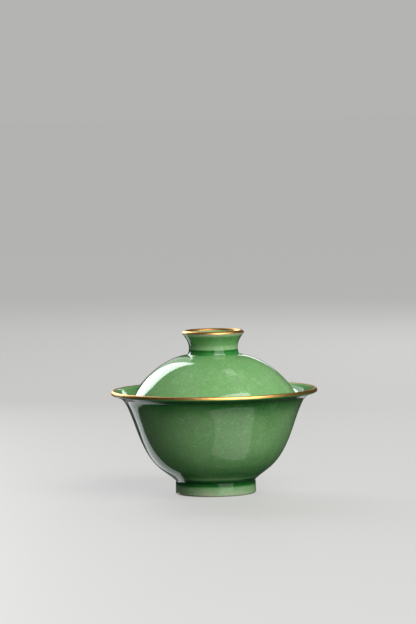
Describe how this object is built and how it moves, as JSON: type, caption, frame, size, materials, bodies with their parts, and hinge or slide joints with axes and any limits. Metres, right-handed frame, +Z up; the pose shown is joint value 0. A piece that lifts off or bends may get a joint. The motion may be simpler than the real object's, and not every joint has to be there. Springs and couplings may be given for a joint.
{
  "type": "gaiwan",
  "caption": "Lidded porcelain tea bowl with a flared lip, a foot ring and a domed lid with a hollow ring knob; the lid rests inside the lip and lifts off. Green glaze, gilded edges.",
  "frame": {"origin": "centre of the foot ring's underside, in the plane that the bowl stands on", "axes": "+Z up along the turning axis of bowl and lid; +X and +Y are free, because the object is round"},
  "size_m": [0.1, 0.1, 0.0791],
  "materials": {
    "bowl_glaze": "gloss",
    "lid_glaze": "gloss",
    "gilding": "polished"
  },
  "bodies": {
    "bowl": {"bowl_body": "bowl_glaze", "bowl_gilt_band": "gilding"},
    "lid": {"lid_body": "lid_glaze", "knob_gilt_band": "gilding"}
  },
  "joints": [
    {"name": "lid_lift", "type": "slide", "parent": "bowl", "child": "lid", "axis": [0, 0, 1], "range_m": [0, 0.08]}
  ]
}
